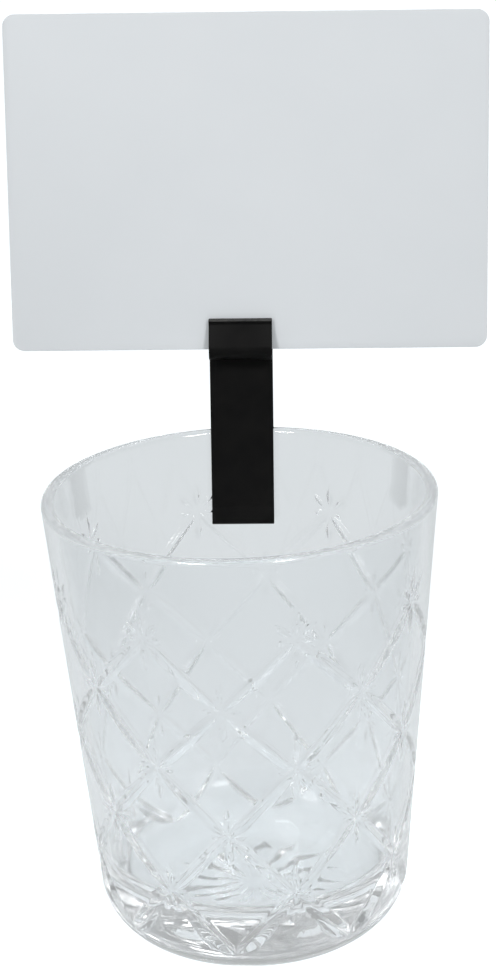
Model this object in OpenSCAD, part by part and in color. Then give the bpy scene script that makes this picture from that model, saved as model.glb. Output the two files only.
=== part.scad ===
// Place card holder: a cut-glass tumbler with a bent strip clip on its rim, which holds a card upright.
// The origin is the centre of the tumbler's base. The clip is at the back, on +Y, and the card faces -Y.

/* [Tumbler] */
// Height of the tumbler
tumbler_h = 100.8; // [95:0.1:110]
// Outside diameter of the tapered wall at the height of the rim
rim_d = 84.3; // [78:0.1:90]
// Outside diameter that the tapered wall would have if it ran down to the table
foot_d = 65.5; // [60:0.1:72]
// Thickness of the wall, square to its face
wall_t = 2.7; // [2.4:0.1:3.6]
// Radius of the round heel between the wall and the base
heel_r = 13.3; // [10:0.1:15]
// Thickness of the glass under the hollow
floor_t = 14; // [9:0.5:17]
// Radius of the hollow's bottom corner
hollow_corner_r = 9; // [5:0.5:11]

/* [Cut lattice] */
// Number of stars in one row round the wall
stars_round = 8; // [7:1:9]
// Number of rows of stars on the straight part of the wall
star_rows = 5; // [3:1:5]
// Plain height between the rim and the centres of the top stars
plain_band_h = 19.1; // [16:0.1:22]
// Height from one row of stars to the next
row_pitch = 14.87; // [13.5:0.01:15.2]
// Turn of the lattice about the tumbler's axis, in degrees
lattice_turn = 16; // [0:1:45]
// Width of a long cut at its middle
long_cut_w = 2.2; // [1.6:0.1:2.8]
// How far short of full depth a long cut stops, which keeps its ends apart from the next cuts
long_cut_lift = 0.05; // [0.02:0.01:0.1]

/* [Star rays] */
// Length of a short ray that runs up or down from a star
upright_ray_len = 6.2; // [4:0.1:6.8]
// Length of a short ray that runs round the wall from a star
level_ray_len = 4; // [3:0.1:5]
// Width of a short ray at its widest
ray_w = 1.3; // [0.8:0.1:1.6]
// Depth of a short ray
ray_depth = 0.45; // [0.2:0.05:0.7]
// Distance from a star's centre to where its short rays start
ray_start = 0.9; // [0.7:0.1:1.5]

/* [Star under the base] */
// Distance from the centre to the inner points of the rays
base_ray_start = 3.2; // [3:0.1:5]
// Distance from the centre to the outer points of the rays
base_ray_end = 19; // [15:0.1:19.5]
// Width of a base ray at its widest
base_ray_w = 4.4; // [2:0.1:4.6]
// Depth of a base ray
base_ray_depth = 1; // [0.4:0.1:1.5]

/* [Clip] */
// Width of both strips
strip_w = 14; // [10:0.5:18]
// Thickness of both strips
strip_t = 1; // [0.8:0.1:1.2]
// Length of the straight legs below the rim, with the flare
leg_len = 21.6; // [16:0.1:26]
// Height of the clip's closed end above the rim
clip_rise = 30.4; // [30:0.1:36]
// Length of the flare at the end of each leg
flare_len = 4; // [2:0.5:6]
// Angle by which the end of each leg flares away from the glass, in degrees
flare_angle = 11; // [5:1:16]
// Gap between each leg and the glass
clip_gap = 0.1; // [0.08:0.01:0.2]
// Sideways tip of the clip on the rim, in degrees
clip_tip = 1.3; // [-2:0.1:2]

/* [Card jaw] */
// Height of the bottom of the jaw above the rim
jaw_base_rise = 16.9; // [15:0.1:17.5]
// Inside radius of the bend under the card
jaw_bend_r = 1.5; // [1.3:0.1:1.7]
// Height of the front tab from the middle of the bend to the line where it pinches the card
pinch_h = 5.6; // [5:0.1:7]
// Length of the lip above the pinch line
lip_len = 1.4; // [1:0.1:2]
// Angle by which the lip leans forward from the card, in degrees
lip_angle = 27; // [15:1:35]
// Gap between the card and each side of the jaw
card_gap = 0.05; // [0.04:0.01:0.1]

/* [Card] */
// Width of the card
card_w = 105; // [85:1:110]
// Height of the card
card_h = 74; // [55:1:80]
// Thickness of the card
card_t = 0.8; // [0.4:0.1:1]
// Radius of the card's corners
card_corner_r = 2.6; // [1:0.1:6]
// How far the card's middle stands to the right of the clip's middle
card_shift = 2; // [-5:0.1:5]

/* [Hidden] */
$fn = 96;

// Lengths past a face that let a cut or a joint of two shapes go through cleanly
overrun = 1;

// The wall: its slope from the upright, and the radii of its outer and inner faces at any height
wall_slope = atan((rim_d - foot_d) / 2 / tumbler_h);
wall_level_t = wall_t / cos(wall_slope);
function outer_r(z) = foot_d / 2 + z * tan(wall_slope);
function inner_r(z) = outer_r(z) - wall_level_t;

// The heel is tangent to the wall and to the table, the lip to both faces of the wall,
// and the hollow's corner to the inner face and the floor
heel_centre_r = outer_r(heel_r) - heel_r / cos(wall_slope);
heel_top_z = heel_r - heel_r * sin(wall_slope);
lip_r = wall_t / 2;
lip_z = tumbler_h - lip_r;
lip_centre_r = outer_r(lip_z) - lip_r / cos(wall_slope);
lip_outer_z = lip_z - lip_r * sin(wall_slope);
lip_inner_z = lip_z + lip_r * sin(wall_slope);
hollow_corner_z = floor_t + hollow_corner_r;
hollow_corner_centre_r = inner_r(hollow_corner_z) - hollow_corner_r / cos(wall_slope);
hollow_corner_top_z = hollow_corner_z - hollow_corner_r * sin(wall_slope);

// The radius of the heel's face at a height below its top
function heel_face_r(z) = heel_centre_r + sqrt(heel_r * heel_r - (heel_r - z) * (heel_r - z));
function face_r(z) = z < heel_top_z ? heel_face_r(z) : outer_r(z);

// The lattice: row 0 is the top row, and the row after the last one is on the heel
star_angle = 360 / stars_round;
top_star_z = tumbler_h - plain_band_h;
function row_z(row) = top_star_z - row * row_pitch;
function node_at(row, half_steps) =
    let (z = row_z(row), a = half_steps * star_angle / 2)
    [face_r(z) * cos(a), face_r(z) * sin(a), z];
// A long cut's bottom is the chord between two stars, so the round wall itself gives the cut its depth
long_cut_sag = outer_r(top_star_z) * (1 - cos(star_angle / 4));
long_cut_slope = long_cut_w / 2 / long_cut_sag;
base_ray_belly_share = 0.72;
ray_belly_share = 0.5;

// The clip's own frame: on the inner face at the rim, Z up along the wall and Y square to it, outwards.
// The strip is flat and the wall round, so the front leg stands off by the wall's sag over half a strip.
leg_side_reach = strip_w / 2 + leg_len * sin(abs(clip_tip));
leg_end_wall_r = inner_r(tumbler_h - leg_len);
wall_sag = leg_end_wall_r - sqrt(leg_end_wall_r * leg_end_wall_r - leg_side_reach * leg_side_reach);
front_leg_back_y = -wall_sag - clip_gap;
front_leg_y = front_leg_back_y - strip_t;
rear_leg_y = wall_t + clip_gap;
leg_space = rear_leg_y - front_leg_back_y;
closed_end_r = leg_space / 2;
closed_end_y = (rear_leg_y + front_leg_back_y) / 2;
closed_end_z = clip_rise - closed_end_r - strip_t;
straight_leg_len = leg_len - flare_len;

// The jaw stands on the front face of the front leg, which is where it is welded
jaw_back_y = front_leg_y;
jaw_bend_y = jaw_back_y - strip_t - jaw_bend_r;
jaw_bend_z = jaw_base_rise + strip_t + jaw_bend_r;
jaw_back_h = pinch_h + lip_len;
card_back_y = jaw_back_y - strip_t - card_gap;
card_front_y = card_back_y - card_t;
// The card's rear edge stands on the curve of the bend, a gap above the metal
card_edge_reach = card_back_y - jaw_bend_y;
card_bottom_z = jaw_bend_z + card_gap - sqrt(jaw_bend_r * jaw_bend_r - card_edge_reach * card_edge_reach);
// The front tab leaves the bend on a tangent and leans back to the pinch line on the card's face
tab_pinch_y = card_front_y - card_gap;
tab_pinch_z = jaw_bend_z + pinch_h;
pinch_reach = norm([tab_pinch_y - jaw_bend_y, pinch_h]);
tab_lean = atan2(tab_pinch_y - jaw_bend_y, pinch_h) + asin(jaw_bend_r / pinch_reach);

module on_rim() {
    translate([0, inner_r(tumbler_h), tumbler_h])
        rotate([-wall_slope, 0, 0])
            rotate([0, clip_tip, 0])
                children();
}

// An outline in the plane of Y and Z, pulled out to the strip's width
module strip_from_outline() {
    translate([-strip_w / 2, 0, 0])
        rotate([90, 0, 90])
            linear_extrude(strip_w)
                children();
}

// The solid glass: the base, the wall up to where the lip begins on both faces, the round heel and the lip
module tumbler_outline() {
    polygon([
        [0, 0],
        [heel_centre_r, 0],
        [heel_centre_r, heel_r],
        [outer_r(heel_top_z), heel_top_z],
        [outer_r(lip_outer_z), lip_outer_z],
        [inner_r(lip_inner_z), lip_inner_z],
        [0, lip_inner_z]
    ]);
    translate([heel_centre_r, heel_r])
        circle(heel_r);
    translate([lip_centre_r, lip_z])
        circle(lip_r);
}

module hollow_outline() {
    polygon([
        [0, floor_t],
        [hollow_corner_centre_r, floor_t],
        [hollow_corner_centre_r, hollow_corner_z],
        [inner_r(hollow_corner_top_z), hollow_corner_top_z],
        [inner_r(lip_inner_z), lip_inner_z],
        [inner_r(lip_inner_z), tumbler_h + overrun],
        [0, tumbler_h + overrun]
    ]);
    translate([hollow_corner_centre_r, hollow_corner_z])
        circle(hollow_corner_r);
}

module blank_tumbler() {
    rotate_extrude()
        difference() {
            tumbler_outline();
            hollow_outline();
        }
}

// A pointed cut: a slim double pyramid that lies along X from 0 to len, half of it above the face
module leaf(len, width, depth, belly_share) {
    belly = len * belly_share;
    polyhedron(
        points = [[0, 0, 0], [belly, -width / 2, 0], [len, 0, 0], [belly, width / 2, 0],
                  [belly, 0, depth], [belly, 0, -depth]],
        faces = [[0, 1, 4], [1, 2, 4], [2, 3, 4], [3, 0, 4],
                 [1, 0, 5], [2, 1, 5], [3, 2, 5], [0, 3, 5]]);
}

// A long cut from one point to the next: a trough whose bottom edge is the line between them
module long_cut(from, to) {
    way = to - from;
    len = norm(way);
    yaw = atan2(way[1], way[0]);
    pitch = -asin(way[2] / len);
    out = [cos(wall_slope), 0, -sin(wall_slope)];
    side = [-sin(yaw), cos(yaw), 0];
    up = [cos(yaw) * sin(pitch), sin(yaw) * sin(pitch), cos(pitch)];
    roll = atan2(-(out * side), out * up);
    height = long_cut_sag + overrun;
    translate(from)
        rotate([roll, pitch, yaw])
            translate([-overrun, 0, long_cut_lift])
                rotate([90, 0, 90])
                    linear_extrude(len + 2 * overrun)
                        polygon([[0, 0], [height * long_cut_slope, height], [-height * long_cut_slope, height]]);
}

module long_cuts() {
    for (row = [0:star_rows - 1], column = [0:stars_round - 1], side = [-1, 1])
        rotate([0, 0, (column + row / 2 + side / 4) * star_angle])
            long_cut(node_at(row, -side / 2), node_at(row + 1, side / 2));
}

// One short ray of a star in the plane of the face: turned by angle, where 0 is level and 90 is up
module ray(angle, len) {
    rotate([0, 0, angle])
        translate([ray_start, 0, 0])
            leaf(len, ray_w, ray_depth, ray_belly_share);
}

module star(is_top) {
    for (angle = [90, 270])
        ray(angle, upright_ray_len);
    for (angle = [0, 180])
        ray(angle, level_ray_len);
    if (is_top)
        for (angle = [45, 135])
            ray(angle, upright_ray_len);
}

module stars() {
    for (row = [0:star_rows - 1], column = [0:stars_round - 1])
        rotate([0, 0, (column + row / 2) * star_angle])
            translate(node_at(row, 0))
                rotate([0, 90 + wall_slope, 0])
                    rotate([0, 0, 90])
                        star(row == 0);
}

module base_star() {
    for (i = [0:2 * stars_round - 1])
        rotate([0, 0, i * star_angle / 2])
            translate([base_ray_start, 0, 0])
                leaf(base_ray_end - base_ray_start, base_ray_w, base_ray_depth, base_ray_belly_share);
}

module tumbler() {
    color([0.84, 0.87, 0.88, 0.45])
        difference() {
            blank_tumbler();
            rotate([0, 0, lattice_turn - 90]) {
                long_cuts();
                stars();
                base_star();
            }
        }
}

// The hairpin is its outer form less the space in it: each is a circle at the closed end and a straight-sided
// shape that widens at the flares
module rim_clip_outline() {
    closed_end = [closed_end_y, closed_end_z];
    rear_leg_back_y = rear_leg_y + strip_t;
    bend_z = -straight_leg_len;
    back_bend_z = bend_z + strip_t * tan(flare_angle / 2);
    flare_out = [sin(flare_angle), -cos(flare_angle)];
    to_back = strip_t * [cos(flare_angle), sin(flare_angle)];
    tip = [0, bend_z] + flare_len * flare_out;
    past_tip = tip + overrun * flare_out;
    difference() {
        union() {
            polygon([
                [front_leg_y, closed_end_z],
                [front_leg_y, back_bend_z],
                [front_leg_back_y - tip[0] - to_back[0], tip[1] + to_back[1]],
                [front_leg_back_y - tip[0], tip[1]],
                [rear_leg_y + tip[0], tip[1]],
                [rear_leg_y + tip[0] + to_back[0], tip[1] + to_back[1]],
                [rear_leg_back_y, back_bend_z],
                [rear_leg_back_y, closed_end_z]
            ]);
            translate(closed_end)
                circle(closed_end_r + strip_t);
        }
        polygon([
            [front_leg_back_y, closed_end_z],
            [front_leg_back_y, bend_z],
            [front_leg_back_y - past_tip[0], past_tip[1]],
            [rear_leg_y + past_tip[0], past_tip[1]],
            [rear_leg_y, bend_z],
            [rear_leg_y, closed_end_z]
        ]);
        translate(closed_end)
            circle(closed_end_r);
    }
}

module rim_clip() {
    color([0.09, 0.09, 0.09])
        on_rim()
            strip_from_outline()
                rim_clip_outline();
}

// The jaw is its outer form less the slot: both are a circle for the bend and a straight-sided shape on it
module card_jaw_outline() {
    outer = jaw_bend_r + strip_t;
    bend = [jaw_bend_y, jaw_bend_z];
    leave = [-cos(tab_lean), sin(tab_lean)];
    pinch = [tab_pinch_y, tab_pinch_z];
    lip_way = [-sin(lip_angle), cos(lip_angle)];
    lip_top = pinch + lip_len * lip_way;
    // From the pinch line to the outer face's corner over it, where the tab turns forward into the lip
    corner_reach = strip_t / cos((tab_lean + lip_angle) / 2);
    corner_turn = (tab_lean - lip_angle) / 2;
    flank_top_z = jaw_bend_z + jaw_back_h;
    slot_top = lip_top + overrun * lip_way;
    difference() {
        union() {
            polygon([
                bend,
                [jaw_back_y, jaw_bend_z],
                [jaw_back_y, flank_top_z],
                [jaw_back_y - strip_t, flank_top_z],
                lip_top,
                lip_top - strip_t * [cos(lip_angle), sin(lip_angle)],
                pinch + corner_reach * [-cos(corner_turn), sin(corner_turn)],
                bend + outer * leave
            ]);
            translate(bend)
                circle(outer);
        }
        polygon([
            bend,
            [jaw_back_y - strip_t, jaw_bend_z],
            [jaw_back_y - strip_t, slot_top[1]],
            slot_top,
            pinch,
            bend + jaw_bend_r * leave
        ]);
        translate(bend)
            circle(jaw_bend_r);
    }
}

module card_jaw() {
    color([0.11, 0.11, 0.11])
        on_rim()
            strip_from_outline()
                card_jaw_outline();
}

module card_outline() {
    translate([card_corner_r, 0])
        square([card_w - 2 * card_corner_r, card_h]);
    translate([0, card_corner_r])
        square([card_w, card_h - 2 * card_corner_r]);
    for (x = [card_corner_r, card_w - card_corner_r], z = [card_corner_r, card_h - card_corner_r])
        translate([x, z])
            circle(card_corner_r);
}

module card() {
    color([0.86, 0.87, 0.87])
        on_rim()
            translate([card_shift - card_w / 2, card_back_y, card_bottom_z])
                rotate([90, 0, 0])
                    linear_extrude(card_t)
                        card_outline();
}

tumbler();
rim_clip();
card_jaw();
card();
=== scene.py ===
import math

import bmesh
import bpy
import numpy as np
from mathutils import Matrix, Vector


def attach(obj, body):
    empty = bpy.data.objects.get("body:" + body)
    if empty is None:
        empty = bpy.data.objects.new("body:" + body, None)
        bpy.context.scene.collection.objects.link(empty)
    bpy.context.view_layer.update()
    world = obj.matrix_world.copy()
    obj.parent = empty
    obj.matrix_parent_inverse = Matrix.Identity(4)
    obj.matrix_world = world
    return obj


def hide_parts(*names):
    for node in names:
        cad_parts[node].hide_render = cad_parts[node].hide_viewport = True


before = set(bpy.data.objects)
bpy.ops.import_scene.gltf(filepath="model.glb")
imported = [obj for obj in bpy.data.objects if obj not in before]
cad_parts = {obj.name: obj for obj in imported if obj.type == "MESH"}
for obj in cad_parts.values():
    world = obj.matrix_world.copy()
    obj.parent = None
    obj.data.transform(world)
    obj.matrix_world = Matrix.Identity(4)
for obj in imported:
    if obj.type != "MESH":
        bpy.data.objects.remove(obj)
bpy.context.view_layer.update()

MM = 0.001

# The tumbler's sizes, as the frame's solid has them
TUMBLER_H = 100.8 * MM
RIM_R = 84.3 / 2 * MM
FOOT_R = 65.5 / 2 * MM
WALL_T = 2.7 * MM
HEEL_R = 13.3 * MM
FLOOR_T = 14 * MM
CORNER_R = 9 * MM

# The lattice: long cuts from star to star, with each row of stars turned by half a step
STARS_ROUND = 8
STAR_ROWS = 5
TOP_STAR_Z = TUMBLER_H - 19.1 * MM
ROW_PITCH = 14.87 * MM
LATTICE_TURN = math.radians(16 - 90)
LONG_CUT_W = 2.5 * MM
LONG_CUT_LIFT = 0.05 * MM

# The stars' leaf-shaped rays. The top row's are wider and deeper, and the others shallower.
UPRIGHT_RAY = 6.2 * MM
LEVEL_RAY = 4 * MM
RAY_W = 1.3 * MM
RAY_DEPTH = 0.45 * MM
RAY_START = 0.9 * MM
RAY_BELLY_SHARE = 0.5
TOP_RAYS_WIDER = 1.25
OTHER_RAYS_SHALLOWER = 0.8

# The star under the base, which has a ray every half step
BASE_RAY_START = 3.2 * MM
BASE_RAY_END = 19 * MM
BASE_RAY_W = 4.4 * MM
BASE_RAY_DEPTH = 0.8 * MM
BASE_RAY_BELLY_SHARE = 0.72

# How softly the fire-polished glass turns into a cut, and turns at the bottom of one. The first two
# are for the long cuts, and the others for the stars.
CUT_EDGE_SOFT = 0.16 * MM
CUT_BOTTOM_SOFT = 0.25 * MM
LEAF_EDGE_SOFT = 0.1 * MM
LEAF_BOTTOM_SOFT = 0.15 * MM

# Slow waves that moulding left in the glass, and where they fade: by the rim, the axis and the base
GLASS_WAVE = 0.02 * MM
WAVE_COUNT = 10
WAVE_LENGTHS_MM = (14, 34)
WAVE_RIM_GAP = 3 * MM
WAVE_RIM_FADE = 6 * MM
WAVE_AXIS_FADE = 4 * MM
WAVE_BASE_FADE_B = 0.3

# The wandering rings that pressing left in the hollow's floor. Each wander is its size, how many
# waves it has round the floor and where they start.
SWIRL_DEPTH = 0.14 * MM
SWIRL_PITCH = 7 * MM
SWIRL_START_R = 6 * MM
SWIRL_WANDERS = ((1.3, 2, 0.7), (0.7, 5, 2.1))

# The clip's, the jaw's and the card's sizes
STRIP_W = 14 * MM
STRIP_T = 1 * MM
STRIP_EDGE_R = 0.16 * MM
LEG_LEN = 21.6 * MM
CLIP_RISE = 30.4 * MM
CLIP_BEND_R = 3 * MM
FLARE_LEN = 4 * MM
FLARE_ANGLE = math.radians(11)
CLIP_GAP = 0.1 * MM
CLIP_TIP = math.radians(1.3)
JAW_BASE_RISE = 16.9 * MM
JAW_BEND_R = 1.5 * MM
PINCH_H = 5.6 * MM
LIP_LEN = 1.4 * MM
LIP_ANGLE = math.radians(27)
LIP_BEND_R = 0.9 * MM
CARD_GAP = 0.05 * MM
CARD_W = 105 * MM
CARD_H = 74 * MM
CARD_T = 0.8 * MM
CARD_CORNER_R = 2.6 * MM
CARD_EDGE_R = 0.12 * MM
CARD_SHIFT = 2 * MM

# Points on a quarter circle of an edge and of a corner of the card, and on the strips' bends
EDGE_STEPS = 4
CARD_CORNER_STEPS = 12
BEND_STEPS = 6
CLOSED_END_STEPS = 25
JAW_BEND_STEPS = 21
LEAST_EDGE_R = 1e-6

# Edges of the strips and the card that turn further than this are sharp
SHARP_ANGLE = math.radians(50)

# The photograph's camera
CAMERA_PLACE = Vector((17.9 * MM, -561.76 * MM, 304.44 * MM))
CAMERA_YAW = math.radians(1.633)
CAMERA_DOWN = math.radians(19.925)
CAMERA_ROLL = math.radians(-2.291)
FOCAL_PX = 2826
PHOTO_H_PX = 978
SENSOR_MM = 36
CAMERA_NEAR = 0.01
CAMERA_FAR = 50

# The materials' colours and their ranges of roughness. All but the glass vary between two colours.
GLASS_COLOUR = (0.962, 0.972, 0.978)
GLASS_SHADOW = (0.89, 0.905, 0.91)
GLASS_ROUGH = (0.03, 0.07)
PAINT_COLOURS = ((0.0035, 0.0035, 0.0036), (0.0055, 0.0053, 0.0051))
PAINT_ROUGH = (0.36, 0.5)
# The edges' colours are paler than the paint's: a painted highlight
EDGE_HIGHLIGHT_COLOURS = ((0.012, 0.012, 0.0125), (0.05, 0.048, 0.045))
EDGE_ROUGH = (0.35, 0.55)
BOARD_COLOURS = ((0.678, 0.703, 0.725), (0.688, 0.712, 0.733))
BOARD_ROUGH = (0.5, 0.62)

# The floor: its colour, and the light added to it where the camera sees it and where glass and
# metal do. These see less of it under the tumbler than far from it, a painted shade, and it
# changes between two radii.
FLOOR_COLOUR = (0.291, 0.3, 0.307)
FLOOR_GLOW = (0.94, 0.982, 1)
FLOOR_LIFT = 0.86
FLOOR_LIFT_BY_WAY = 0.5
FLOOR_LIFT_PAINTED_SHADE = 0.43
FLOOR_PAINTED_SHADE_R = (0.028, 0.07)
FLOOR_R = 4.0
FLOOR_SIDES = 96
FLOOR_Z = -0.0002

# The world's level low down and overhead, and the upward shares between which it changes. At both
# sides a share of it is left, which is reached between two sideways shares.
WORLD_COLOUR = (0.97, 0.995, 1)
WORLD_LOW = 0.5
WORLD_HIGH = 0.388
WORLD_UPWARD = (0.1, 0.8)
WORLD_SIDE_SHARE = 0.5
WORLD_SIDEWAYS = (0.45, 0.9)

# The two lamps, in degrees
LAMP_AZIMUTH = 30
LAMP_ELEVATION = 38
LAMP_STRENGTH = 1.34
LAMP_WIDTH = 14

# Light crosses many faces of the cut glass before it leaves
BOUNCES = 64

wall_slope = math.atan((RIM_R - FOOT_R) / TUMBLER_H)
wall_level_t = WALL_T / math.cos(wall_slope)


def outer_r(z):
    return FOOT_R + z * math.tan(wall_slope)


def inner_r(z):
    return outer_r(z) - wall_level_t


heel_centre_r = outer_r(HEEL_R) - HEEL_R / math.cos(wall_slope)
heel_top_z = HEEL_R - HEEL_R * math.sin(wall_slope)
half_star_angle = math.pi / STARS_ROUND


def material(name, nodes_of):
    mat = bpy.data.materials.new(name)
    mat.use_nodes = True
    tree = mat.node_tree
    tree.nodes.clear()
    out = tree.nodes.new("ShaderNodeOutputMaterial")
    nodes_of(tree, out)
    return mat


def link(tree, a, b):
    tree.links.new(a, b)


def principled(tree, **values):
    node = tree.nodes.new("ShaderNodeBsdfPrincipled")
    for name, value in values.items():
        node.inputs[name.replace("_", " ")].default_value = value
    return node


def noise(tree, scale, detail=3.0, roughness=0.5):
    place = tree.nodes.new("ShaderNodeTexCoord")
    node = tree.nodes.new("ShaderNodeTexNoise")
    node.inputs["Scale"].default_value = scale
    node.inputs["Detail"].default_value = detail
    node.inputs["Roughness"].default_value = roughness
    link(tree, place.outputs["Object"], node.inputs["Vector"])
    return node.outputs["Fac"]


def ranged(tree, source, low, high, from_low=0.3, from_high=0.7):
    node = tree.nodes.new("ShaderNodeMapRange")
    node.inputs["From Min"].default_value = from_low
    node.inputs["From Max"].default_value = from_high
    node.inputs["To Min"].default_value = low
    node.inputs["To Max"].default_value = high
    link(tree, source, node.inputs["Value"])
    return node.outputs["Result"]


def sums(tree, operation, *sources):
    """A Math node on plain numbers and on other nodes' outputs."""
    node = tree.nodes.new("ShaderNodeMath")
    node.operation = operation
    for socket, source in zip(node.inputs, sources):
        if isinstance(source, (int, float)):
            socket.default_value = source
        else:
            link(tree, source, socket)
    return node.outputs[0]


def two_colours(tree, factor, first, second):
    node = tree.nodes.new("ShaderNodeMix")
    node.data_type = "RGBA"
    node.inputs["A"].default_value = (*first, 1)
    node.inputs["B"].default_value = (*second, 1)
    link(tree, factor, node.inputs["Factor"])
    return node.outputs["Result"]


def bump(tree, height, strength, distance):
    node = tree.nodes.new("ShaderNodeBump")
    node.inputs["Strength"].default_value = strength
    node.inputs["Distance"].default_value = distance
    link(tree, height, node.inputs["Height"])
    return node.outputs["Normal"]


def glass_nodes(tree, out):
    # Clear, faintly blue glass. Lamps reach the floor and the clip through it, a little dimmed.
    glass = principled(tree, Base_Color=(*GLASS_COLOUR, 1), IOR=1.5, Transmission_Weight=1.0)
    path = tree.nodes.new("ShaderNodeLightPath")
    smears = noise(tree, scale=90.0)
    link(tree, ranged(tree, smears, *GLASS_ROUGH), glass.inputs["Roughness"])
    clear = tree.nodes.new("ShaderNodeBsdfTransparent")
    clear.inputs["Color"].default_value = (*GLASS_SHADOW, 1)
    mix = tree.nodes.new("ShaderNodeMixShader")
    link(tree, path.outputs["Is Shadow Ray"], mix.inputs["Fac"])
    link(tree, glass.outputs["BSDF"], mix.inputs[1])
    link(tree, clear.outputs["BSDF"], mix.inputs[2])
    link(tree, mix.outputs["Shader"], out.inputs["Surface"])


def black_nodes(tree, out):
    # Satin paint with a fine grain
    paint = principled(tree, Specular_IOR_Level=0.06)
    cloud = noise(tree, scale=260.0)
    link(tree, two_colours(tree, ranged(tree, cloud, 0.0, 1.0), *PAINT_COLOURS),
         paint.inputs["Base Color"])
    grain = noise(tree, scale=2600.0, detail=2.0)
    link(tree, ranged(tree, cloud, *PAINT_ROUGH), paint.inputs["Roughness"])
    link(tree, bump(tree, grain, strength=0.35, distance=0.00002), paint.inputs["Normal"])
    link(tree, paint.outputs["BSDF"], out.inputs["Surface"])


def highlight_edge_nodes(tree, out):
    # The strip's cut sides and ends, paler than its faces: a painted highlight for the light these
    # thin edges catch
    paint = principled(tree, Specular_IOR_Level=0.4)
    cloud = noise(tree, scale=900.0)
    link(tree, two_colours(tree, ranged(tree, cloud, 0.0, 1.0), *EDGE_HIGHLIGHT_COLOURS),
         paint.inputs["Base Color"])
    link(tree, ranged(tree, cloud, *EDGE_ROUGH), paint.inputs["Roughness"])
    link(tree, paint.outputs["BSDF"], out.inputs["Surface"])


def card_nodes(tree, out):
    # Smooth matt board with a trace of its fibres
    board = principled(tree, Specular_IOR_Level=0.3)
    cloud = noise(tree, scale=60.0, detail=4.0)
    link(tree, two_colours(tree, ranged(tree, cloud, 0.0, 1.0), *BOARD_COLOURS),
         board.inputs["Base Color"])
    fibre = noise(tree, scale=4200.0, detail=4.0, roughness=0.65)
    link(tree, ranged(tree, cloud, *BOARD_ROUGH), board.inputs["Roughness"])
    link(tree, bump(tree, fibre, strength=0.2, distance=0.00001), board.inputs["Normal"])
    link(tree, board.outputs["BSDF"], out.inputs["Surface"])


def face_outwards(mesh):
    work = bmesh.new()
    work.from_mesh(mesh)
    bmesh.ops.recalc_face_normals(work, faces=work.faces)
    work.to_mesh(mesh)
    work.free()
    mesh.update()


def new_piece(name, points, faces, materials, face_material=None, normals=None):
    mesh = bpy.data.meshes.new(name)
    mesh.from_pydata([tuple(p) for p in points], [], faces)
    mesh.shade_smooth()
    for mat in materials:
        mesh.materials.append(mat)
    if face_material is not None:
        mesh.polygons.foreach_set("material_index", np.array(face_material, np.int32))
    mesh.validate()
    face_outwards(mesh)
    if normals is not None:
        mesh.normals_split_custom_set_from_vertices([tuple(n) for n in normals])
    piece = bpy.data.objects.new(name, mesh)
    bpy.context.scene.collection.objects.link(piece)
    return piece


# The tumbler's face is laid out in two counts. a goes round it, one for each half step from star to
# star. b goes down its outside, one for each row of stars: row 5 is on the heel, 6 is the edge of
# the base and 7 its centre.
HEEL_B = (TOP_STAR_Z - heel_top_z) / ROW_PITCH
LAST_ROW = STAR_ROWS
BASE_B = LAST_ROW + 1
CENTRE_B = BASE_B + 1
TURNS_A = 2 * STARS_ROUND
heel_star_turn = math.asin((HEEL_R - (TOP_STAR_Z - LAST_ROW * ROW_PITCH)) / HEEL_R)


def outside(b):
    """Radius, height and the normal's level and upward shares at each b of the outside."""
    b = np.asarray(b, float)
    z_wall = TOP_STAR_Z - b * ROW_PITCH
    upper = wall_slope + (heel_star_turn - wall_slope) * (b - HEEL_B) / (LAST_ROW - HEEL_B)
    lower = heel_star_turn + (math.pi / 2 - heel_star_turn) * (b - LAST_ROW)
    turn = np.where(b < LAST_ROW, upper, np.minimum(lower, math.pi / 2))
    on_wall = b < HEEL_B
    on_base = b > BASE_B
    turn = np.where(on_wall, wall_slope, turn)
    r = np.where(on_wall, FOOT_R + z_wall * math.tan(wall_slope),
                 heel_centre_r + HEEL_R * np.cos(turn))
    z = np.where(on_wall, z_wall, HEEL_R - HEEL_R * np.sin(turn))
    r = np.where(on_base, heel_centre_r * (CENTRE_B - b), r)
    z = np.where(on_base, 0.0, z)
    return r, z, np.cos(turn), -np.sin(turn)


def node_place(row, a):
    r, z, _, _ = outside(row)
    angle = LATTICE_TURN + a * half_star_angle
    return np.array([r * math.cos(angle), r * math.sin(angle), z])


def soft_cut(depth, soft):
    """A cut's depth, turning softly to none at its edge, up to the soft depth."""
    blend = (depth + soft) ** 2 / (4 * soft)
    return np.where(depth > soft, depth, np.where(depth < -soft, 0.0, blend))


def off_line(y, soft):
    """Distance from a cut's bottom line, with the bottom rounded."""
    return np.sqrt(y * y + soft ** 2) - soft


long_cut_sag = outer_r(TOP_STAR_Z) * (1 - math.cos(half_star_angle / 2))
long_cut_rise = long_cut_sag / (LONG_CUT_W / 2)

# The least share of a cut's direction that a surface faces and is still cut
LEAST_FACING = 0.3


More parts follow.
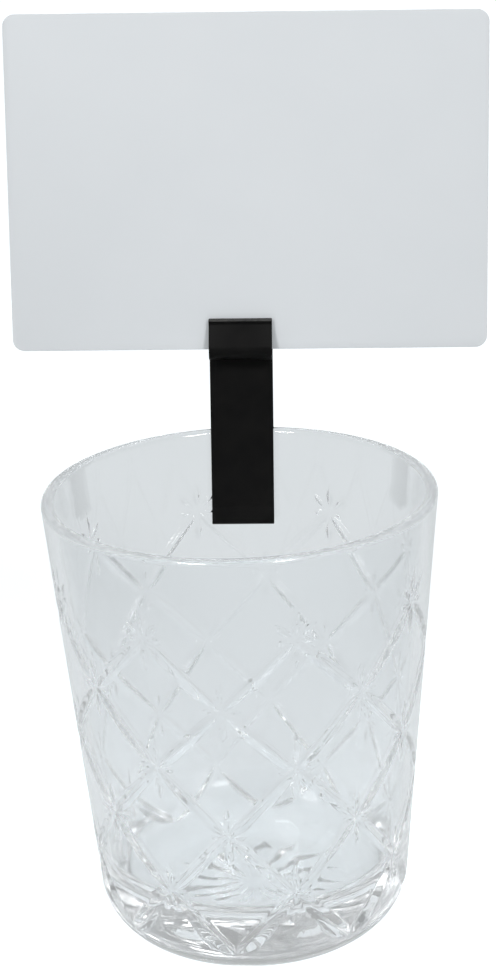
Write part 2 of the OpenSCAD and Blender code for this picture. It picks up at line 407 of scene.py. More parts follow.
def long_cut_depths(points, normals):
    """How deep the long cuts go at points of the uncut outside. Two lead down from each star."""
    depths = np.zeros(len(points))
    for row in range(STAR_ROWS):
        for column in range(STARS_ROUND):
            for side in (-1, 1):
                a = 2 * column + row
                start = node_place(row, a)
                end = node_place(row + 1, a + side)
                along = end - start
                reach = np.linalg.norm(along)
                along /= reach
                middle = LATTICE_TURN + (a + side / 2) * half_star_angle
                out = np.array([math.cos(wall_slope) * math.cos(middle),
                                math.cos(wall_slope) * math.sin(middle), -math.sin(wall_slope)])
                up = out - along * (out @ along)
                up /= np.linalg.norm(up)
                across = np.cross(up, along)
                near = np.flatnonzero(np.linalg.norm(points - (start + end) / 2, axis=1) < reach)
                w = points[near] - start
                ends = np.clip(2 * (w @ along) / reach - 1, -1, 1) ** 2
                middle_depth = w @ up - LONG_CUT_LIFT + long_cut_sag * (ends - ends ** 2)
                depth = middle_depth - off_line(w @ across, CUT_BOTTOM_SOFT) * long_cut_rise
                facing = normals[near] @ up
                cut = soft_cut(depth, CUT_EDGE_SOFT) / np.maximum(facing, LEAST_FACING)
                depths[near] = np.maximum(depths[near], np.where(facing > LEAST_FACING, cut, 0.0))
    return depths


def leaf_depth(x, y, length, width, deep, belly_share):
    """How deep a leaf-shaped cut goes at x along it and y across it. It is deepest at its belly."""
    rise = np.minimum(x / (belly_share * length), (length - x) / ((1 - belly_share) * length))
    return deep * (rise - off_line(y, LEAF_BOTTOM_SOFT) / (width / 2))


def star_depths(points):
    """How deep the small stars go at points of the uncut outside."""
    depths = np.zeros(len(points))
    for row in range(STAR_ROWS):
        rays = [(90, UPRIGHT_RAY), (270, UPRIGHT_RAY), (0, LEVEL_RAY), (180, LEVEL_RAY)]
        width, deep = RAY_W, OTHER_RAYS_SHALLOWER * RAY_DEPTH
        if row == 0:
            rays += [(45, UPRIGHT_RAY), (135, UPRIGHT_RAY)]
            width, deep = TOP_RAYS_WIDER * RAY_W, TOP_RAYS_WIDER * RAY_DEPTH
        for column in range(STARS_ROUND):
            a = 2 * column + row
            angle = LATTICE_TURN + a * half_star_angle
            level = np.array([-math.sin(angle), math.cos(angle), 0.0])
            up = np.array([math.sin(wall_slope) * math.cos(angle),
                           math.sin(wall_slope) * math.sin(angle), math.cos(wall_slope)])
            out = np.cross(level, up)
            w = points - node_place(row, a)
            near = np.linalg.norm(w, axis=1) < UPRIGHT_RAY + 2 * RAY_START
            near_w = w[near]
            found = depths[near]
            for turn, length in rays:
                way = math.cos(math.radians(turn)) * level + math.sin(math.radians(turn)) * up
                across = np.cross(out, way)
                leaf = leaf_depth(near_w @ way - RAY_START, near_w @ across, length, width, deep,
                                  RAY_BELLY_SHARE)
                found = np.maximum(found, soft_cut(leaf + near_w @ out, LEAF_EDGE_SOFT))
            depths[near] = found
    return depths


def base_star_depths(r, a):
    """The cut under the base at radius r, with a counted in half steps."""
    off = (a - np.round(a)) * half_star_angle
    leaf = leaf_depth(r * np.cos(off) - BASE_RAY_START, r * np.sin(off),
                      BASE_RAY_END - BASE_RAY_START, BASE_RAY_W, BASE_RAY_DEPTH,
                      BASE_RAY_BELLY_SHARE)
    return soft_cut(leaf, LEAF_EDGE_SOFT)


def waves(points, seed):
    """Slow waves of the moulded glass, the same each run."""
    rng = np.random.default_rng(seed)
    total = np.zeros(len(points))
    for _ in range(WAVE_COUNT):
        way = rng.normal(size=3)
        way *= 2 * math.pi / (rng.uniform(*WAVE_LENGTHS_MM) * MM) / np.linalg.norm(way)
        total += np.sin(points @ way + rng.uniform(0, 2 * math.pi))
    return np.clip(total / (WAVE_COUNT / 2), -1, 1)


def calm(points):
    """1 where the glass waves, and less towards the rim and the axis."""
    r = np.hypot(points[:, 0], points[:, 1])
    below_rim = (TUMBLER_H - WAVE_RIM_GAP - points[:, 2]) / WAVE_RIM_FADE
    return np.clip(below_rim, 0, 1) * np.clip(r / WAVE_AXIS_FADE, 0, 1)


def swirls(points):
    """How deep the hollow's floor sinks in wandering rings, which fade out up its corner."""
    r = np.hypot(points[:, 0], points[:, 1])
    turn = np.arctan2(points[:, 1], points[:, 0])
    ring = 2 * math.pi * r / SWIRL_PITCH
    for size, round_count, start in SWIRL_WANDERS:
        ring = ring + size * np.sin(round_count * turn + start)
    up_corner = np.clip((FLOOR_T + CORNER_R - points[:, 2]) / CORNER_R, 0, 1)
    return SWIRL_DEPTH * (0.5 + 0.5 * np.sin(ring)) * (up_corner * np.clip(r / SWIRL_START_R, 0, 1))


# Edges of the cut face's triangles are halved, in one round for each of these lengths, where they
# are longer and miss its shape by the tolerance
CUT_FACE_SIZES = (0.7 * MM, 0.4 * MM)
CUT_FACE_TOLERANCE = 0.014 * MM

# Grid lines of a diamond between four stars run along its sides, which are long cuts. Those by a
# cut follow its bottom and its edge, and the others spread out to the diamond's middle. All are
# shares of the way across.
CELL_STEPS = 28
CUT_BOTTOM_LINES = (0.0, 0.011, 0.027)
CUT_EDGE_BAND = 0.0125
LEAST_HALF_CUT = 0.045
LINE_SPREAD = 1.5


def half_cut_share(row, along):
    """Half the width of the long cuts below a row of stars, at shares along them."""
    if not 0 <= row < STAR_ROWS:
        return np.full(len(along), LEAST_HALF_CUT)
    r = outer_r(TOP_STAR_Z - (row + 0.5) * ROW_PITCH)
    sag = r * (1 - math.cos(half_star_angle / 2))
    ends = (2 * along - 1) ** 2
    middle_depth = sag * (1 - ends) + long_cut_sag * (ends - ends ** 2) - LONG_CUT_LIFT
    half_v = np.maximum(middle_depth, 0) / long_cut_rise
    half_w = np.sqrt((half_v + CUT_BOTTOM_SOFT) ** 2 - CUT_BOTTOM_SOFT ** 2)
    step = r * half_star_angle
    diamond_w = 2 * step * ROW_PITCH / math.hypot(step, ROW_PITCH)
    return np.maximum(half_w / diamond_w, LEAST_HALF_CUT)


def half_lines(edge):
    """Shares of the lines from a cut's bottom to the diamond's middle, one row for each edge."""
    edge = np.atleast_1d(edge)[:, None]
    by_edge = edge + np.array([-CUT_EDGE_BAND, 0, CUT_EDGE_BAND])
    bottom = np.broadcast_to(CUT_BOTTOM_LINES, (len(edge), len(CUT_BOTTOM_LINES)))
    left = CELL_STEPS // 2 + 1 - bottom.shape[1] - by_edge.shape[1]
    spread = (np.arange(1, left + 1) / left) ** LINE_SPREAD
    last = by_edge[:, -1:]
    return np.concatenate([bottom, by_edge, last + (0.5 - last) * spread], 1)


side_half = half_lines(LEAST_HALF_CUT)[0]
cell_share = np.concatenate([side_half, 1 - side_half[-2::-1]])


def cell_lines(first_row, second_row):
    """For each share along a side, the shares of the lines beside it, between two rows' cuts."""
    first = half_lines(half_cut_share(first_row, cell_share))
    second = half_lines(half_cut_share(second_row, cell_share))
    return np.concatenate([first, 1 - second[:, -2::-1]], 1)


# Places of a sheet are the same where they round to the same parts of 1, of this many
PARTS_OF_1 = 100000


class Sheet:
    """Faces whose corners are (a, b) places, joined where the places are the same."""

    def __init__(self):
        self.index = {}
        self.places = []
        self.faces = []

    def at(self, a, b):
        a = a % TURNS_A
        key = (round(a * PARTS_OF_1) % (TURNS_A * PARTS_OF_1), round(b * PARTS_OF_1))
        if key not in self.index:
            self.index[key] = len(self.places)
            self.places.append((a, b))
        return self.index[key]

    def face(self, *corners):
        ids = []
        for c in corners:
            i = self.at(*c)
            if i not in ids:
                ids.append(i)
        if len(ids) > 2:
            self.faces.append(ids)


def lattice_cells(sheet):
    """The diamonds between four stars, with their faces split along the nearer of two diagonals."""
    n = CELL_STEPS
    for row in range(LAST_ROW + 1):
        p = cell_lines(row - 1, row).T
        q = cell_lines(row, row - 1)
        for column in range(STARS_ROUND):
            a0 = 2 * column + row
            spot = [[(a0 + p[i, j] + q[i, j], row + p[i, j] - q[i, j]) for j in range(n + 1)]
                    for i in range(n + 1)]
            for i in range(n):
                for j in range(n):
                    c = [spot[i][j], spot[i + 1][j], spot[i + 1][j + 1], spot[i][j + 1]]
                    if abs(i - j) < abs(i + j + 1 - n):
                        sheet.face(c[0], c[1], c[2])
                        sheet.face(c[0], c[2], c[3])
                    else:
                        sheet.face(c[0], c[1], c[3])
                        sheet.face(c[1], c[2], c[3])


def zigzag(row, way):
    """The edge of the diamonds from one star of a row to the next: (a, b) places all round."""
    places = []
    for column in range(TURNS_A):
        a0 = column + row
        for share in cell_share[:-1]:
            rising = column % 2 == 0
            places.append((a0 + share, row + way * (share if rising else 1 - share)))
    return places


def bands(sheet, lower, upper, shares):
    """Quads between two lists of places with the same a, in rows at the shares."""
    n = len(lower)
    for s, t in zip(shares[:-1], shares[1:]):
        for i in range(n):
            j = (i + 1) % n
            sheet.face(*((lower[k][0], lower[k][1] + (upper[k][1] - lower[k][1]) * u)
                         for k, u in ((i, s), (j, s), (j, t), (i, t))))


def graded(steps, power):
    """Shares from 0 to 1 in steps that grow with the power."""
    return (np.arange(steps + 1) / steps) ** power


def cut_face(a, b):
    """The outside at each a and b before it is cut, its normals, and how deep it is cut."""
    r, z, level, upward = outside(b)
    angle = LATTICE_TURN + a * half_star_angle
    points = np.stack([r * np.cos(angle), r * np.sin(angle), z], 1)
    normals = np.stack([level * np.cos(angle), level * np.sin(angle), upward], 1)
    depth = np.maximum(long_cut_depths(points, normals), star_depths(points))
    depth = np.where(b > BASE_B, base_star_depths(r, a), depth)
    return points, normals, depth


def halved(a, b, triangles, tolerance, least):
    """The triangles with edges over least halved that leave the cut face by the tolerance."""
    points, _, depth = cut_face(a, b)
    sides = [triangles[:, [0, 1]], triangles[:, [1, 2]], triangles[:, [2, 0]]]
    edges, back = np.unique(np.sort(np.concatenate(sides), axis=1), axis=0, return_inverse=True)
    back = back.reshape(3, -1).T
    first, second = edges.T
    step = (a[second] - a[first] + TURNS_A / 2) % TURNS_A - TURNS_A / 2
    mid_a, mid_b = a[first] + step / 2, (b[first] + b[second]) / 2
    mid_depth = cut_face(mid_a, mid_b)[2]
    off = np.abs(mid_depth - (depth[first] + depth[second]) / 2)
    long_enough = np.linalg.norm(points[first] - points[second], axis=1) > least
    marked = (off > tolerance) & long_enough
    new = np.full(len(edges), -1)
    new[marked] = len(a) + np.arange(marked.sum())
    a = np.concatenate([a, mid_a[marked]])
    b = np.concatenate([b, mid_b[marked]])
    mids = new[back]
    count = (mids >= 0).sum(1)
    out = [triangles[count == 0]]
    for turn in range(3):
        v0, v1, v2 = np.roll(triangles, -turn, axis=1).T
        m0, m1, m2 = np.roll(mids, -turn, axis=1).T
        one = (count == 1) & (m0 >= 0)
        out += [np.stack(c, 1)[one] for c in ((v0, m0, v2), (m0, v1, v2))]
        two = (count == 2) & (m2 < 0)
        out += [np.stack(c, 1)[two] for c in ((m0, v1, m1), (v0, m0, m1), (v0, m1, v2))]
        if turn == 0:
            three = count == 3
            out += [np.stack(c, 1)[three]
                    for c in ((v0, m0, m2), (m0, v1, m1), (m2, m1, v2), (m0, m1, m2))]
    return a, b, np.concatenate(out)


# A face's normal comes from points this far to each side of it, in a and in b
NORMAL_STEP = 0.02
NEAR_CENTRE_B = 0.05
LEAST_NORMAL = 1e-14
OUTSIDE_SEED = 5


def moulded_face(a, b):
    """The cut outside at each a and b, waves and all, and its normals before it was cut."""
    points, normals, depth = cut_face(a, b)
    above_base = np.clip((BASE_B - b) / WAVE_BASE_FADE_B, 0, 1)
    depth += (waves(points, OUTSIDE_SEED) + 1) * GLASS_WAVE * calm(points) * above_base
    return points - normals * depth[:, None], normals


def moulded_normals(a, b, uncut_normals):
    """The cut outside's normals, which the base's centre keeps uncut."""
    by_a = moulded_face(a + NORMAL_STEP, b)[0] - moulded_face(a - NORMAL_STEP, b)[0]
    by_b = moulded_face(a, b + NORMAL_STEP)[0] - moulded_face(a, b - NORMAL_STEP)[0]
    found = np.cross(by_a, by_b)
    size = np.linalg.norm(found, axis=1)
    found *= np.sign(np.sum(found * uncut_normals, axis=1))[:, None]
    keep = (b > CENTRE_B - NEAR_CENTRE_B) | (size < LEAST_NORMAL)
    return np.where(keep[:, None], uncut_normals, found / np.maximum(size, LEAST_NORMAL)[:, None])


# The lip and the inside have even columns, and rows that are counted with those at both ends. The
# outside ends a little below them.
LIP_JOIN = 1.2 * MM
INSIDE_COLUMNS = 448
LIP_ROWS = 15
INNER_WALL_ROWS = 15
CORNER_ROWS = 14
HOLLOW_FLOOR_ROWS = 16
INSIDE_SEED = 3
SLOPE_REACH = 0.05 * MM


def inside_rows():
    """Radius, height and normal shares from the lip's outer edge over it and to the centre."""
    rows = []
    lip_r = WALL_T / 2
    lip_z = TUMBLER_H - lip_r
    lip_centre_r = outer_r(lip_z) - lip_r / math.cos(wall_slope)
    for turn in np.linspace(-wall_slope, math.pi - wall_slope, LIP_ROWS):
        rows.append((lip_centre_r + lip_r * math.cos(turn), lip_z + lip_r * math.sin(turn),
                     math.cos(turn), math.sin(turn)))
    corner_z = FLOOR_T + CORNER_R
    corner_centre_r = inner_r(corner_z) - CORNER_R / math.cos(wall_slope)
    corner_top_z = corner_z - CORNER_R * math.sin(wall_slope)
    lip_inner_z = rows[-1][1]
    for z in np.linspace(lip_inner_z, corner_top_z, INNER_WALL_ROWS)[1:-1]:
        rows.append((inner_r(z), z, -math.cos(wall_slope), math.sin(wall_slope)))
    for turn in np.linspace(wall_slope, math.pi / 2, CORNER_ROWS):
        rows.append((corner_centre_r + CORNER_R * math.cos(turn),
                     corner_z - CORNER_R * math.sin(turn), -math.cos(turn), math.sin(turn)))
    for share in np.linspace(1, 0, HOLLOW_FLOOR_ROWS)[1:-1]:
        rows.append((corner_centre_r * share, FLOOR_T, 0.0, 1.0))
    return rows


def inside_sink(points):
    """How deep the inside lies below its plain shape."""
    return (waves(points, INSIDE_SEED) + 1) * GLASS_WAVE * calm(points) + swirls(points)


def inside_normals(points, outward):
    """The inside's normals, tipped from its plain shape's by the slope of what it sinks."""
    found = outward.copy()
    for axis in range(3):
        step = np.zeros(3)
        step[axis] = SLOPE_REACH
        slope = (inside_sink(points + step) - inside_sink(points - step)) / (2 * SLOPE_REACH)
        way = np.zeros((len(points), 3))
        way[:, axis] = 1
        found += slope[:, None] * (way - outward * outward[:, [axis]])
    return found / np.linalg.norm(found, axis=1)[:, None]


def stitched(lower, lower_a, upper, upper_a):
    """Triangles between two rings of points, whose a rise from the same start."""
    m, n = len(lower), len(upper)
    lower_a, upper_a = lower_a + [TURNS_A], upper_a + [TURNS_A]
    i = j = 0
    faces = []
    while i < m or j < n:
        if i < m and (j == n or lower_a[i + 1] <= upper_a[j + 1]):
            faces.append([lower[i], lower[(i + 1) % m], upper[j % n]])
            i += 1
        else:
            faces.append([lower[i % m], upper[(j + 1) % n], upper[j]])
            j += 1
    return faces


# Rows of faces above the stars, below them and on the base, where they begin a little inside its
# edge. Points at the same b as the base's centre become one.
ABOVE_STEPS, ABOVE_POWER = 8, 1.5
BELOW_STEPS, BELOW_POWER = 6, 1.3
BASE_STEPS = 18
BASE_LINE_B = 0.08
SAME_B = 1e-6


def make_tumbler(mat):
    # The outside, first as a flat sheet
    sheet = Sheet()
    lattice_cells(sheet)
    top = zigzag(0, -1)
    inner = np.array(inside_rows())
    lip_b = (TOP_STAR_Z - inner[0][1] + LIP_JOIN) / ROW_PITCH
    bands(sheet, top, [(a, lip_b) for a, _ in top], graded(ABOVE_STEPS, ABOVE_POWER))
    bottom = zigzag(LAST_ROW, 1)
    base_line = [(a, BASE_B + BASE_LINE_B) for a, _ in bottom]
    bands(sheet, bottom, base_line, graded(BELOW_STEPS, BELOW_POWER))
    centre = [(a, CENTRE_B) for a, _ in bottom]
    bands(sheet, base_line, centre, np.linspace(0, 1, BASE_STEPS + 1))
    a, b = np.array(sheet.places).T
    triangles = np.array([f for f in sheet.faces if len(f) == 3]
                         + [[f[i] for i in three] for f in sheet.faces if len(f) == 4
                            for three in ((0, 1, 2), (0, 2, 3))])
    for least in CUT_FACE_SIZES:
        a, b, triangles = halved(a, b, triangles, CUT_FACE_TOLERANCE, least)
    points, uncut_normals = moulded_face(a, b)
    normals = moulded_normals(a, b, uncut_normals)

    # The lip and the inside
    lip = [sheet.at(a0, lip_b) for a0, _ in top]
    column_a = TURNS_A * np.arange(INSIDE_COLUMNS) / INSIDE_COLUMNS
    turns = LATTICE_TURN + column_a * half_star_angle
    r, z, level, upward = inner[:, :, None].transpose(1, 0, 2)
    rings = np.stack([r * np.cos(turns), r * np.sin(turns), z + 0 * turns], 2)
    outward = np.stack([level * np.cos(turns), level * np.sin(turns), upward + 0 * turns], 2)
    rings -= outward * inside_sink(rings.reshape(-1, 3)).reshape(len(rings), -1, 1)
    sunk = rings.reshape(-1, 3)
    first = len(points)
    points = np.concatenate([points, sunk, [[0, 0, FLOOR_T]]])
    normals = np.concatenate([normals, inside_normals(sunk, outward.reshape(-1, 3)), [[0, 0, 1]]])
    faces = triangles.tolist()
    faces += stitched(lip, [a0 for a0, _ in top],
                      list(range(first, first + INSIDE_COLUMNS)), column_a.tolist())
    for i in range(INSIDE_COLUMNS):
        j = (i + 1) % INSIDE_COLUMNS
        for k in range(len(rings) - 1):
            here = first + k * INSIDE_COLUMNS
            faces.append([here + i, here + j, here + INSIDE_COLUMNS + j, here + INSIDE_COLUMNS + i])
        last = first + (len(rings) - 1) * INSIDE_COLUMNS
        faces.append([last + i, last + j, len(points) - 1])

    # One point at the middle of the base
    at_pole = np.flatnonzero(np.abs(b - CENTRE_B) < SAME_B)
    swap = {int(i): int(at_pole[0]) for i in at_pole}
    faces = [list(dict.fromkeys(swap.get(i, i) for i in f)) for f in faces]
    faces = [f for f in faces if len(f) > 2]
    used = np.zeros(len(points), bool)
    for f in faces:
        used[f] = True
    number = np.cumsum(used) - 1
    faces = [[int(number[i]) for i in f] for f in faces]
    return new_piece("cut_glass_tumbler", points[used], faces, [mat], normals=normals[used])


def arc(centre, radius, start, end, steps):
    """Points on an arc in the plane of Y and Z, angles from +Y towards +Z."""
    return [(centre[0] + radius * math.cos(t), centre[1] + radius * math.sin(t))
            for t in np.linspace(start, end, steps)]


def round_corners(path, radius):
    """The path with each inner corner turned into a short arc."""
    out = [path[0]]
    for before, here, after in zip(path[:-2], path[1:-1], path[2:]):
        here, u, v = Vector(here), Vector(before) - Vector(here), Vector(after) - Vector(here)
        u.normalize()
        v.normalize()
        half = u.angle(v) / 2
        reach = radius / math.tan(half)
        centre = here + (u + v).normalized() * (radius / math.sin(half))
        first, last = here + u * reach, here + v * reach
        a0 = math.atan2(first.y - centre.y, first.x - centre.x)
        a1 = math.atan2(last.y - centre.y, last.x - centre.x)
        while a1 - a0 > math.pi:
            a1 -= 2 * math.pi
        while a1 - a0 < -math.pi:
            a1 += 2 * math.pi
        out += arc(centre, radius, a0, a1, BEND_STEPS)
    out.append(path[-1])
    return [tuple(p) for p in out]


def rounded_section(width, thick, radius, steps=EDGE_STEPS):
    """A rectangle's outline with round corners: (across, through), starting on the right side."""
    points = []
    for sx, sy, start in ((1, 1, 0), (-1, 1, 1), (-1, -1, 2), (1, -1, 3)):
        centre = (sx * (width / 2 - radius), sy * (thick / 2 - radius))
        points += arc(centre, radius, start * math.pi / 2, (start + 1) * math.pi / 2, steps)
    return points


def quarter_round(radius):
    """How far rings along a rounded edge are drawn in and lie back, from square on to its end."""
    return [(radius * (1 - math.sin(t)), radius * (1 - math.cos(t)))
            for t in np.linspace(0, math.pi / 2, EDGE_STEPS)]


def make_strip(name, path, materials):
    """A strip of STRIP_W by STRIP_T along a path of its middle, with rounded edges and ends."""
    path = [Vector(p) for p in path]
    start_way = (path[1] - path[0]).normalized()
    end_way = (path[-1] - path[-2]).normalized()
    ends = quarter_round(STRIP_EDGE_R)
    rings = [(path[0] + start_way * back, inset) for inset, back in ends]
    rings += [(p, 0.0) for p in path[1:-1]]
    rings += [(path[-1] - end_way * back, inset) for inset, back in ends[::-1]]
    points, faces, kinds = [], [], []
    n = len(rounded_section(STRIP_W, STRIP_T, STRIP_EDGE_R))
    for k, (centre, inset) in enumerate(rings):
        if k < len(ends):
            way = start_way
        elif k >= len(rings) - len(ends):
            way = end_way
        else:
            before, after = rings[k - 1][0], rings[k + 1][0]
            way = ((centre - before).normalized() + (after - centre).normalized()).normalized()
        through = Vector((-way.y, way.x))
        section = rounded_section(STRIP_W - 2 * inset, STRIP_T - 2 * inset,
                                  max(STRIP_EDGE_R - inset, LEAST_EDGE_R))
        for across, thick in section:
            spot = centre + through * thick
            points.append((across, spot.x, spot.y))
    for k in range(len(rings) - 1):
        for i in range(n):
            j = (i + 1) % n
            faces.append((k * n + i, k * n + j, (k + 1) * n + j, (k + 1) * n + i))
            # Ends and cut sides take the paler edge material, a painted highlight
            on_end = k < len(ends) - 1 or k >= len(rings) - len(ends)
            is_cut_side = i in (n - 1, n // 2 - 1)
            kinds.append(1 if on_end or is_cut_side else 0)
    faces.append(tuple(range(n))[::-1])
    faces.append(tuple(range((len(rings) - 1) * n, len(rings) * n)))
    kinds += [1, 1]
    return new_piece(name, points, faces, materials, kinds)


# Where the clip, the jaw and the card stand: y outwards and z up from the rim's inner edge
leg_side_reach = STRIP_W / 2 + LEG_LEN * math.sin(abs(CLIP_TIP))
leg_end_wall_r = inner_r(TUMBLER_H - LEG_LEN)
wall_sag = leg_end_wall_r - math.sqrt(leg_end_wall_r ** 2 - leg_side_reach ** 2)
front_leg_back_y = -wall_sag - CLIP_GAP
front_leg_y = front_leg_back_y - STRIP_T
rear_leg_y = WALL_T + CLIP_GAP
closed_end_r = (rear_leg_y - front_leg_back_y) / 2
closed_end_y = (rear_leg_y + front_leg_back_y) / 2
closed_end_z = CLIP_RISE - closed_end_r - STRIP_T
jaw_bend_y = front_leg_y - STRIP_T - JAW_BEND_R
jaw_bend_z = JAW_BASE_RISE + STRIP_T + JAW_BEND_R
jaw_back_h = PINCH_H + LIP_LEN
card_back_y = front_leg_y - STRIP_T - CARD_GAP
card_front_y = card_back_y - CARD_T
card_bottom_z = (jaw_bend_z + CARD_GAP
                 - math.sqrt(JAW_BEND_R ** 2 - (card_back_y - jaw_bend_y) ** 2))
pinch_y = card_front_y - CARD_GAP
pinch_z = jaw_bend_z + PINCH_H
tab_lean = (math.atan2(pinch_y - jaw_bend_y, PINCH_H)
            + math.asin(JAW_BEND_R / math.hypot(pinch_y - jaw_bend_y, PINCH_H)))
on_rim = (Matrix.Translation((0, inner_r(TUMBLER_H), TUMBLER_H))
          @ Matrix.Rotation(-wall_slope, 4, "X") @ Matrix.Rotation(CLIP_TIP, 4, "Y"))


def hairpin_path():
    half = STRIP_T / 2
    front, rear = front_leg_back_y - half, rear_leg_y + half
    bend_z = -(LEG_LEN - FLARE_LEN)
    tip = Vector((math.sin(FLARE_ANGLE), -math.cos(FLARE_ANGLE))) * FLARE_LEN
    front_side = round_corners([(front - tip.x, bend_z + tip.y), (front, bend_z),
                                (front, closed_end_z)], CLIP_BEND_R)
    rear_side = round_corners([(rear, closed_end_z), (rear, bend_z),
                               (rear + tip.x, bend_z + tip.y)], CLIP_BEND_R)
    end = arc((closed_end_y, closed_end_z), closed_end_r + half, math.pi, 0, CLOSED_END_STEPS)
    return front_side[:-1] + end + rear_side[1:]


def jaw_path():
    half = STRIP_T / 2
    bend = Vector((jaw_bend_y, jaw_bend_z))
    flank_y = front_leg_y - half
    out = Vector((-math.cos(tab_lean), math.sin(tab_lean)))
    lip_out = Vector((-math.cos(LIP_ANGLE), -math.sin(LIP_ANGLE)))
    lip_way = Vector((-math.sin(LIP_ANGLE), math.cos(LIP_ANGLE)))
    pinch = Vector((pinch_y, pinch_z))
    turn = (tab_lean - LIP_ANGLE) / 2
    corner = (pinch + Vector((-math.cos(turn), math.sin(turn))) * half
              / math.cos((tab_lean + LIP_ANGLE) / 2))
    leave = bend + out * (JAW_BEND_R + half)
    lip_end = pinch + lip_way * LIP_LEN + lip_out * half
    front = round_corners([tuple(leave), tuple(corner), tuple(lip_end)], LIP_BEND_R)
    under = arc(bend, JAW_BEND_R + half, 0, -math.pi - tab_lean, JAW_BEND_STEPS)
    return [(flank_y, jaw_bend_z + jaw_back_h)] + under + front[1:]


def make_card(mat):
    """The card's outline with round corners, and its front and back edges slightly rounded."""
    steps = quarter_round(CARD_EDGE_R)
    rings = steps + [(inset, CARD_T - deep) for inset, deep in steps[::-1]]
    n = 4 * CARD_CORNER_STEPS
    points, faces = [], []
    for inset, deep in rings:
        ring = rounded_section(CARD_W - 2 * inset, CARD_H - 2 * inset, CARD_CORNER_R - inset,
                               CARD_CORNER_STEPS)
        for x, z in ring:
            points.append((CARD_SHIFT + x, card_back_y - deep, card_bottom_z + CARD_H / 2 + z))
    for k in range(len(rings) - 1):
        for i in range(n):
            j = (i + 1) % n
            faces.append((k * n + i, (k + 1) * n + i, (k + 1) * n + j, k * n + j))
    faces.append(tuple(range(n)))
    faces.append(tuple(range((len(rings) - 1) * n, len(rings) * n))[::-1])
    return new_piece("white_card", points, faces, [mat])


def put_on_rim(piece):
    piece.data.transform(on_rim)
    piece.data.update()


def floor_nodes(tree, out):
    # A pale floor that keeps its shadows. What lamps leave it short of white is added where it is
    # looked at straight. Metal and glass show it as the photograph's glass does, as a pale grey
    # that is darker under the tumbler.
    matt = tree.nodes.new("ShaderNodeBsdfDiffuse")
    matt.inputs["Color"].default_value = (*FLOOR_COLOUR, 1)
    path = tree.nodes.new("ShaderNodeLightPath")
    by_way = sums(tree, "MAXIMUM", path.outputs["Is Glossy Ray"],
                  path.outputs["Is Transmission Ray"])
    straight = sums(tree, "MULTIPLY", path.outputs["Is Camera Ray"], FLOOR_LIFT)
    place = tree.nodes.new("ShaderNodeTexCoord")
    off_centre = tree.nodes.new("ShaderNodeVectorMath")
    off_centre.operation = "LENGTH"
    link(tree, place.outputs["Object"], off_centre.inputs[0])
    # Painted shade: the glow that glass and metal see is dimmed near the tumbler's centre
    shaded_lift_by_way = ranged(tree, off_centre.outputs["Value"], FLOOR_LIFT_PAINTED_SHADE, FLOOR_LIFT_BY_WAY,
                         *FLOOR_PAINTED_SHADE_R)
    glow = tree.nodes.new("ShaderNodeEmission")
    glow.inputs["Color"].default_value = (*FLOOR_GLOW, 1)
    link(tree, sums(tree, "MULTIPLY_ADD", by_way, shaded_lift_by_way, straight), glow.inputs["Strength"])
    both = tree.nodes.new("ShaderNodeAddShader")
    link(tree, matt.outputs["BSDF"], both.inputs[0])
    link(tree, glow.outputs["Emission"], both.inputs[1])
    link(tree, both.outputs["Shader"], out.inputs["Surface"])


def make_floor():
    turns = [2 * math.pi * i / FLOOR_SIDES for i in range(FLOOR_SIDES)]
    points = [(FLOOR_R * math.cos(t), FLOOR_R * math.sin(t), FLOOR_Z) for t in turns]
    floor = new_piece("floor", points, [tuple(range(FLOOR_SIDES))],
                      [material("pale_floor", floor_nodes)])


def make_world():
    # White for the camera. All else meets its plain light level, a grey that is darker overhead and
    # at both sides, which gives the cuts in the glass their darker strokes.
    world = bpy.data.worlds.new("studio")
    bpy.context.scene.world = world
    world.use_nodes = True
    tree = world.node_tree
    tree.nodes.clear()
    out = tree.nodes.new("ShaderNodeOutputWorld")
    back = tree.nodes.new("ShaderNodeBackground")
    place = tree.nodes.new("ShaderNodeTexCoord")
    split = tree.nodes.new("ShaderNodeSeparateXYZ")
    link(tree, place.outputs["Generated"], split.inputs["Vector"])
    path = tree.nodes.new("ShaderNodeLightPath")
    by_height = ranged(tree, split.outputs["Z"], WORLD_LOW, WORLD_HIGH, *WORLD_UPWARD)
    sideways = sums(tree, "ABSOLUTE", split.outputs["X"])
    by_side = ranged(tree, sideways, 1.0, WORLD_SIDE_SHARE, *WORLD_SIDEWAYS)
    level = sums(tree, "MULTIPLY", by_height, by_side)
    seen = sums(tree, "MAXIMUM", level, path.outputs["Is Camera Ray"])
    colour = two_colours(tree, path.outputs["Is Camera Ray"], WORLD_COLOUR, (1, 1, 1))
    link(tree, seen, back.inputs["Strength"])
    link(tree, colour, back.inputs["Color"])
    link(tree, back.outputs["Background"], out.inputs["Surface"])


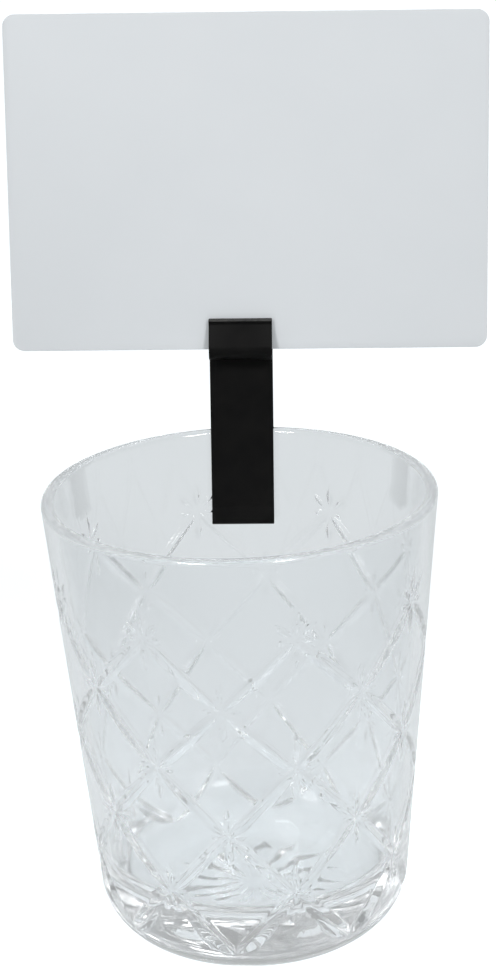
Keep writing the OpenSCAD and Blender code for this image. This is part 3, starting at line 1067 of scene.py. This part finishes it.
def add_sun(name, azimuth, elevation, strength, width):
    """A far lamp, azimuth from behind the camera towards its right. Angles and width in degrees."""
    lamp = bpy.data.lights.new(name, "SUN")
    lamp.energy = strength
    lamp.angle = math.radians(width)
    holder = bpy.data.objects.new(name, lamp)
    turn, rise = math.radians(azimuth), math.radians(elevation)
    place = Vector((math.cos(rise) * math.sin(turn), -math.cos(rise) * math.cos(turn),
                    math.sin(rise)))
    holder.rotation_euler = (-place).to_track_quat("-Z", "Y").to_euler()
    bpy.context.scene.collection.objects.link(holder)


def make_camera():
    cam = bpy.data.cameras.new("camera")
    cam.sensor_fit = "VERTICAL"
    cam.sensor_height = SENSOR_MM
    cam.lens = FOCAL_PX * SENSOR_MM / PHOTO_H_PX
    cam.clip_start = CAMERA_NEAR
    cam.clip_end = CAMERA_FAR
    holder = bpy.data.objects.new("camera", cam)
    holder.matrix_world = (Matrix.Translation(CAMERA_PLACE) @ Matrix.Rotation(CAMERA_YAW, 4, "Z")
                           @ Matrix.Rotation(math.pi / 2 - CAMERA_DOWN, 4, "X")
                           @ Matrix.Rotation(CAMERA_ROLL, 4, "Z"))
    bpy.context.scene.collection.objects.link(holder)
    bpy.context.scene.camera = holder


make_camera()
make_world()
make_floor()
add_sun("left_lamp", -LAMP_AZIMUTH, LAMP_ELEVATION, LAMP_STRENGTH, LAMP_WIDTH)
add_sun("right_lamp", LAMP_AZIMUTH, LAMP_ELEVATION, LAMP_STRENGTH, LAMP_WIDTH)
bpy.context.scene.view_settings.view_transform = "Standard"
bpy.context.scene.cycles.max_bounces = BOUNCES
bpy.context.scene.cycles.transmission_bounces = BOUNCES
bpy.context.scene.cycles.glossy_bounces = BOUNCES

glass = material("cut_glass", glass_nodes)
black = material("satin_black", black_nodes)
highlight_edge = material("satin_black_edge_highlight", highlight_edge_nodes)
white = material("card_board", card_nodes)

tumbler = make_tumbler(glass)
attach(tumbler, "glass")
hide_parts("tumbler")

clip = make_strip("black_rim_clip", hairpin_path(), [black, highlight_edge])
jaw = make_strip("black_card_jaw", jaw_path(), [black, highlight_edge])
card = make_card(white)
for piece, body, node, slot in ((clip, "clip", "rim_clip", "black_steel"),
                                (jaw, "clip", "card_jaw", "black_steel"),
                                (card, "card", "card", "white_card")):
    put_on_rim(piece)
    piece.data.set_sharp_from_angle(angle=SHARP_ANGLE)
    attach(piece, body)
    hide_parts(node)
